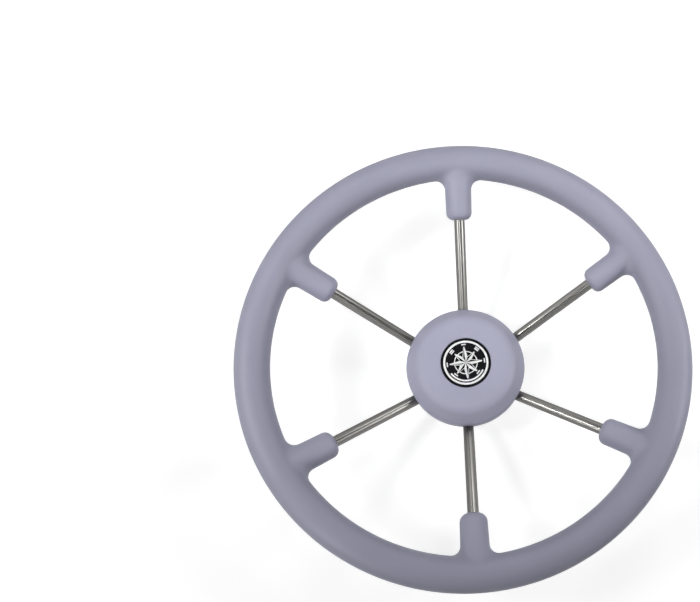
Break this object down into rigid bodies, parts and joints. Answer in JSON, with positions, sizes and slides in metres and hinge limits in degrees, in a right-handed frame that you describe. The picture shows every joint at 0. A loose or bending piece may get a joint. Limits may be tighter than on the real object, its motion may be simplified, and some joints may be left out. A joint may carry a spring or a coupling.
{
  "type": "boat steering wheel",
  "caption": "Dished boat steering wheel with a soft moulded rim, polished steel spokes, a bun-shaped hub cover with a compass cap and a tapered, keyed shaft boss.",
  "frame": {"origin": "centre of the back face of the boss, where the shaft enters", "axes": "+Z along the wheel's axis towards the person steering, +Y to the top spoke"},
  "size_m": [0.4, 0.4, 0.1027],
  "materials": {
    "grip_polyurethane": "satin grey-lavender polyurethane skin",
    "bar_steel": "plain steel bar",
    "spoke_steel": "polished stainless steel",
    "boss_steel": "turned stainless steel",
    "cover_polyurethane": "satin grey-lavender polyurethane skin",
    "cap_black": "gloss black plastic",
    "print_white": "white enamel"
  },
  "bodies": {
    "root": {"rim_grip": "grip_polyurethane", "rim_core": "bar_steel", "spoke_1": "spoke_steel", "spoke_2": "spoke_steel", "spoke_3": "spoke_steel", "spoke_4": "spoke_steel", "spoke_5": "spoke_steel", "spoke_6": "spoke_steel", "boss": "boss_steel", "hub_cover": "cover_polyurethane", "badge_cap": "cap_black", "badge_ring": "print_white", "compass_marks": "print_white", "compass_rose": "print_white"}
  },
  "joints": []
}
